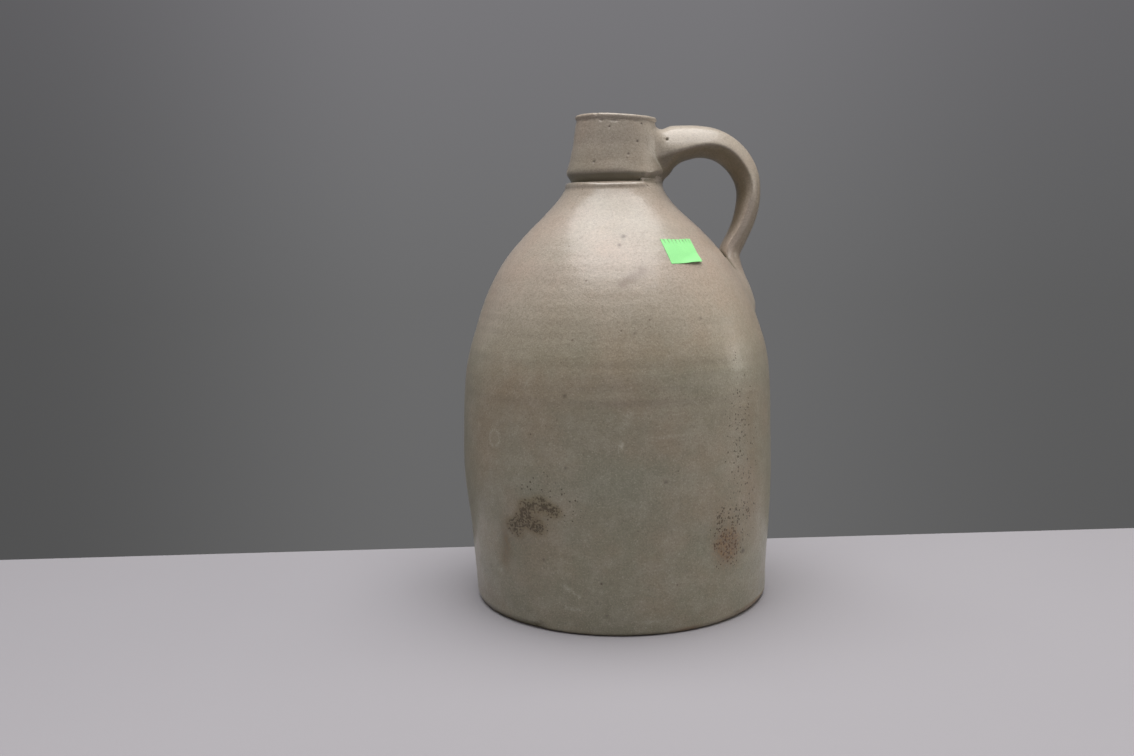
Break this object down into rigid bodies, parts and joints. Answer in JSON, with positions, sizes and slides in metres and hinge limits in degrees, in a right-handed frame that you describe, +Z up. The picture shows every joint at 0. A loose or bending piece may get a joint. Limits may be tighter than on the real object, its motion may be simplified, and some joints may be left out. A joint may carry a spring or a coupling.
{
  "type": "stoneware jug",
  "caption": "Thrown stoneware jug with straight flaring sides, a domed shoulder, a tall slanted spout collar with a narrow mouth, and a pulled strap handle from collar to shoulder.",
  "frame": {"origin": "centre of the flat foot, on the surface that the jug stands on", "axes": "+Z up along the jug's axis, +X towards the handle"},
  "size_m": [0.1797, 0.1798, 0.277],
  "materials": {
    "glazed_stoneware": "satin grey-buff salt glaze with fine pitting, iron specks and brown scorch blooms",
    "brown_slip": "glossy dark brown slip",
    "label_paper": "matt bright green paper"
  },
  "bodies": {
    "root": {"lower_body": "glazed_stoneware", "shoulder_cap": "glazed_stoneware", "spout_collar": "glazed_stoneware", "handle_strap": "glazed_stoneware", "handle_upper_luting": "glazed_stoneware", "handle_lower_pad": "glazed_stoneware", "slip_lining": "brown_slip", "lot_label": "label_paper"}
  },
  "joints": []
}
